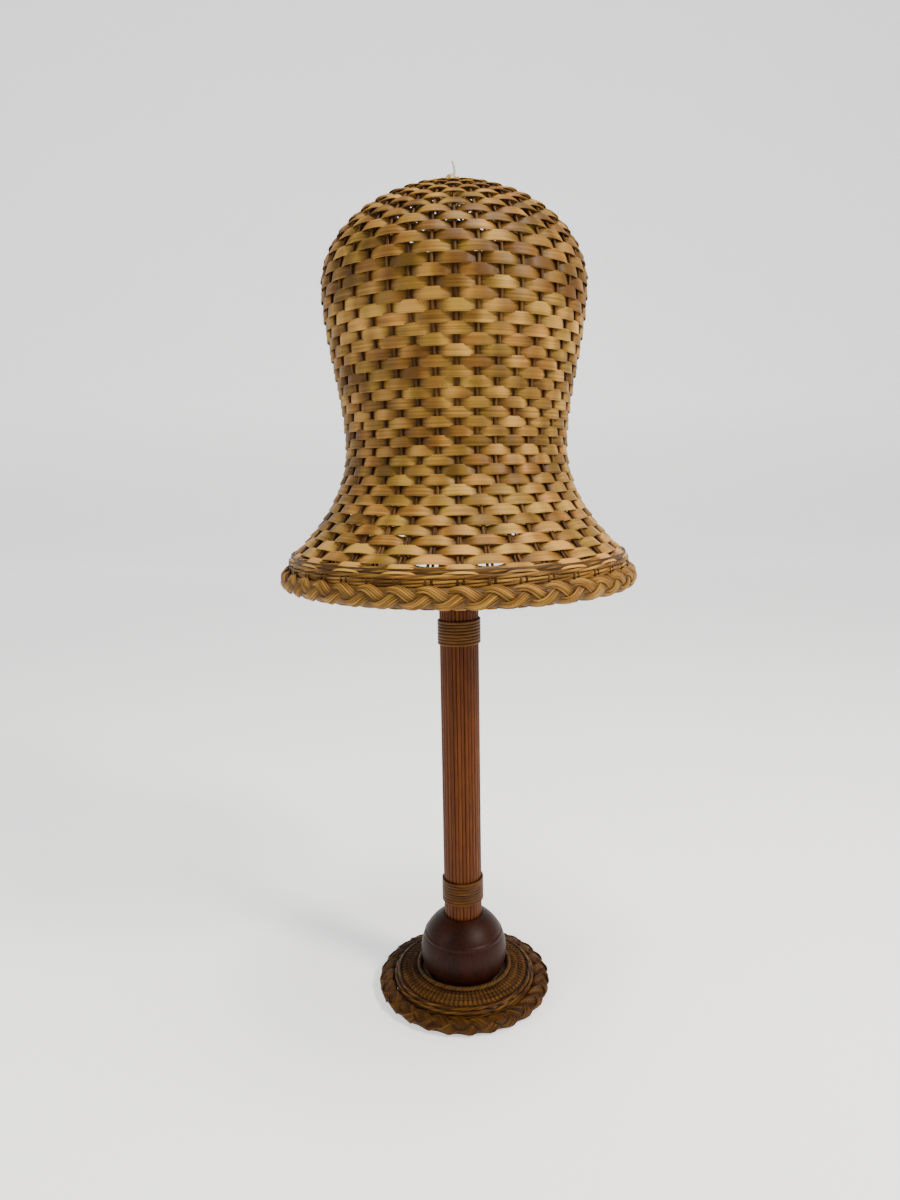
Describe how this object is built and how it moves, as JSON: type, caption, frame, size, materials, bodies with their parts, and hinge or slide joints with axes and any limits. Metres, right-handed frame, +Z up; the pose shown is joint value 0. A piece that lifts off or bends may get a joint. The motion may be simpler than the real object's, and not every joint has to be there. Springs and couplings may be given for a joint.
{
  "type": "wicker table lamp",
  "caption": "Tall table lamp with a woven bell-shaped rattan shade on a wire harp, a reed-clad pole, a turned wooden ball and a woven round foot.",
  "frame": {"origin": "centre of the foot's underside, on the surface that the lamp stands on", "axes": "+Z up along the pole, +X towards the harp's right side, -Y to the front (the switch key), +Y to the cord outlet at the back"},
  "size_m": [0.4449, 0.445, 1.0559],
  "materials": {
    "felt": "matte felt",
    "iron": "rough casting",
    "board": "bare plywood",
    "foot_reed": "aged varnished reed",
    "foot_braid": "aged varnished reed braid",
    "pale_reed": "thick pale reed",
    "ball_wood": "dark turned wood, glossy varnish",
    "bushing_brown": "matte",
    "steel": "zinc plated",
    "brass": "satin brass",
    "pole_wood": "bare dowel",
    "pole_reed": "orange-brown split reed, satin varnish",
    "cane_gold": "golden cane, satin",
    "cane_dark": "dark stained cane, satin",
    "cap_wood": "stained wood",
    "card": "fibre card",
    "insulator": "moulded",
    "key_plastic": "moulded",
    "aluminium": "bright rolled",
    "bulb_glass": "frosted",
    "shade_reed": "golden flat reed, satin",
    "spoke_reed": "round reed, matte",
    "rim_reed": "brown braided reed, satin",
    "cotton": "twisted cotton"
  },
  "bodies": {
    "stand": {"felt_pad": "felt", "base_weight": "iron", "base_board": "board", "base_cover": "foot_reed", "base_wale": "foot_reed", "base_braid": "foot_braid", "foot_ring": "pale_reed", "wood_ball": "ball_wood", "cord_bushing": "bushing_brown", "lamp_rod": "brass", "bottom_washer": "steel", "bottom_nut": "steel", "pole_core": "pole_wood", "pole_reeds": "pole_reed", "bottom_binding": "cane_gold", "top_binding": "cane_dark", "pole_cap": "cap_wood", "harp_saddle": "brass", "saddle_nut": "steel", "socket_cap": "brass", "socket_shell": "brass", "socket_liner": "card", "socket_body": "insulator", "screw_shell": "brass", "centre_contact": "brass"},
    "switch_key": {"switch_key": "key_plastic"},
    "bulb_tip": {"bulb_tip": "aluminium"},
    "bulb": {"bulb_base": "aluminium", "bulb_glass": "bulb_glass"},
    "harp": {"harp": "brass", "harp_hub": "brass"},
    "ferrule_left": {"harp_ferrule_left": "brass"},
    "ferrule_right": {"harp_ferrule_right": "brass"},
    "shade_pivot": {"harp_stud": "brass"},
    "shade": {"crown_washer": "brass", "shade_spokes": "spoke_reed", "shade_weave": "shade_reed", "shade_wale": "rim_reed", "shade_rim_braid": "rim_reed", "crown_plate": "brass"},
    "crown_nut": {"crown_nut": "brass", "crown_cord": "cotton"}
  },
  "joints": [
    {"name": "switch_turn", "type": "hinge", "parent": "stand", "child": "switch_key", "pos_m": [0, 0, 0.6907], "axis": [0, -1, 0], "continuous": true},
    {"name": "bulb_rise", "type": "slide", "parent": "stand", "child": "bulb_tip", "axis": [0, 0, 1], "range_m": [0, 0.0182]},
    {"name": "bulb_turn", "type": "hinge", "parent": "bulb_tip", "child": "bulb", "pos_m": [0, 0, 0.75], "axis": [0, 0, 1], "range_deg": [0, 1800]},
    {"name": "harp_lift", "type": "slide", "parent": "stand", "child": "harp", "axis": [0, 0, 1], "range_m": [0, 0.08]},
    {"name": "ferrule_left_slide", "type": "slide", "parent": "harp", "child": "ferrule_left", "axis": [0, 0, 1], "range_m": [0, 0.016]},
    {"name": "ferrule_right_slide", "type": "slide", "parent": "harp", "child": "ferrule_right", "axis": [0, 0, 1], "range_m": [0, 0.016]},
    {"name": "shade_swivel", "type": "hinge", "parent": "harp", "child": "shade_pivot", "pos_m": [0, 0, 1], "axis": [0, 0, 1], "continuous": true},
    {"name": "shade_lift", "type": "slide", "parent": "shade_pivot", "child": "shade", "axis": [0, 0, 1], "range_m": [0, 0.485]},
    {"name": "crown_nut_turn", "type": "hinge", "parent": "shade", "child": "crown_nut", "pos_m": [0, 0, 1.03], "axis": [0, 0, 1], "continuous": true}
  ],
  "couplings": [
    {"joint": "bulb_rise", "follows": "bulb_turn", "m_per_rad": 0.0005777}
  ]
}
